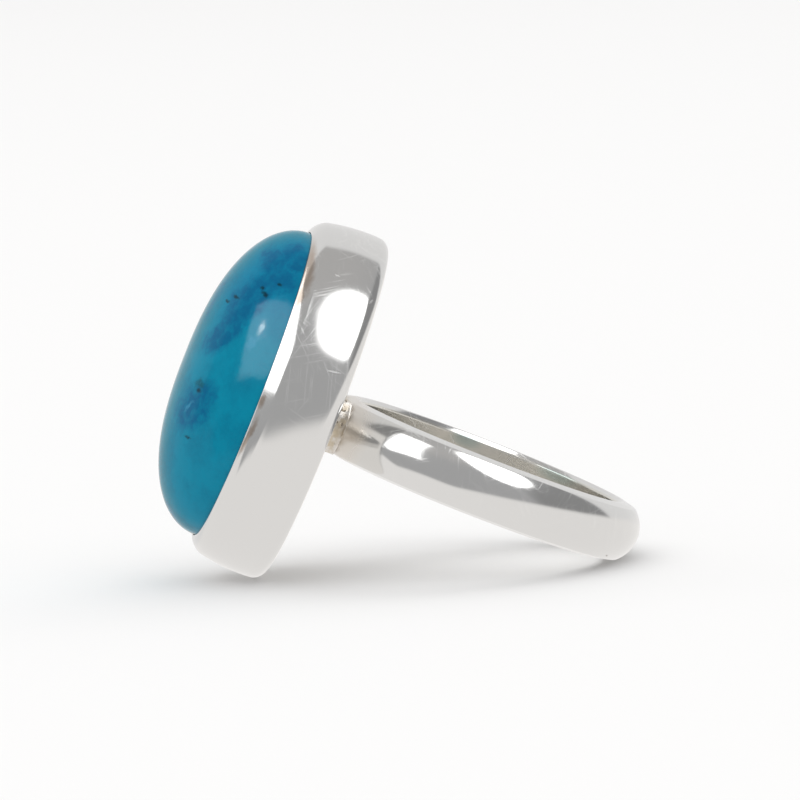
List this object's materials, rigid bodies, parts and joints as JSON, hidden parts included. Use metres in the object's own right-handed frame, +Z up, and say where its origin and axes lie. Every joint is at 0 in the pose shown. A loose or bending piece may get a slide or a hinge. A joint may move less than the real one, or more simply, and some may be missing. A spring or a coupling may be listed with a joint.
{
  "type": "turquoise ring",
  "caption": "Silver finger ring with a tall oval bezel, a domed turquoise cabochon and a half-round band, lying on its side.",
  "frame": {"origin": "on the floor, under the centre of the box of the ring as it lies", "axes": "+Z up, -X towards the stone, Y across the bezel's width; the finger axis leans 24 degrees from +Z towards +X"},
  "size_m": [0.0302, 0.0214, 0.0222],
  "materials": {
    "silver": "polished sterling silver with fine scratches",
    "turquoise": "polished turquoise, mottled"
  },
  "bodies": {
    "root": {"setting": "silver", "stone": "turquoise"}
  },
  "joints": []
}
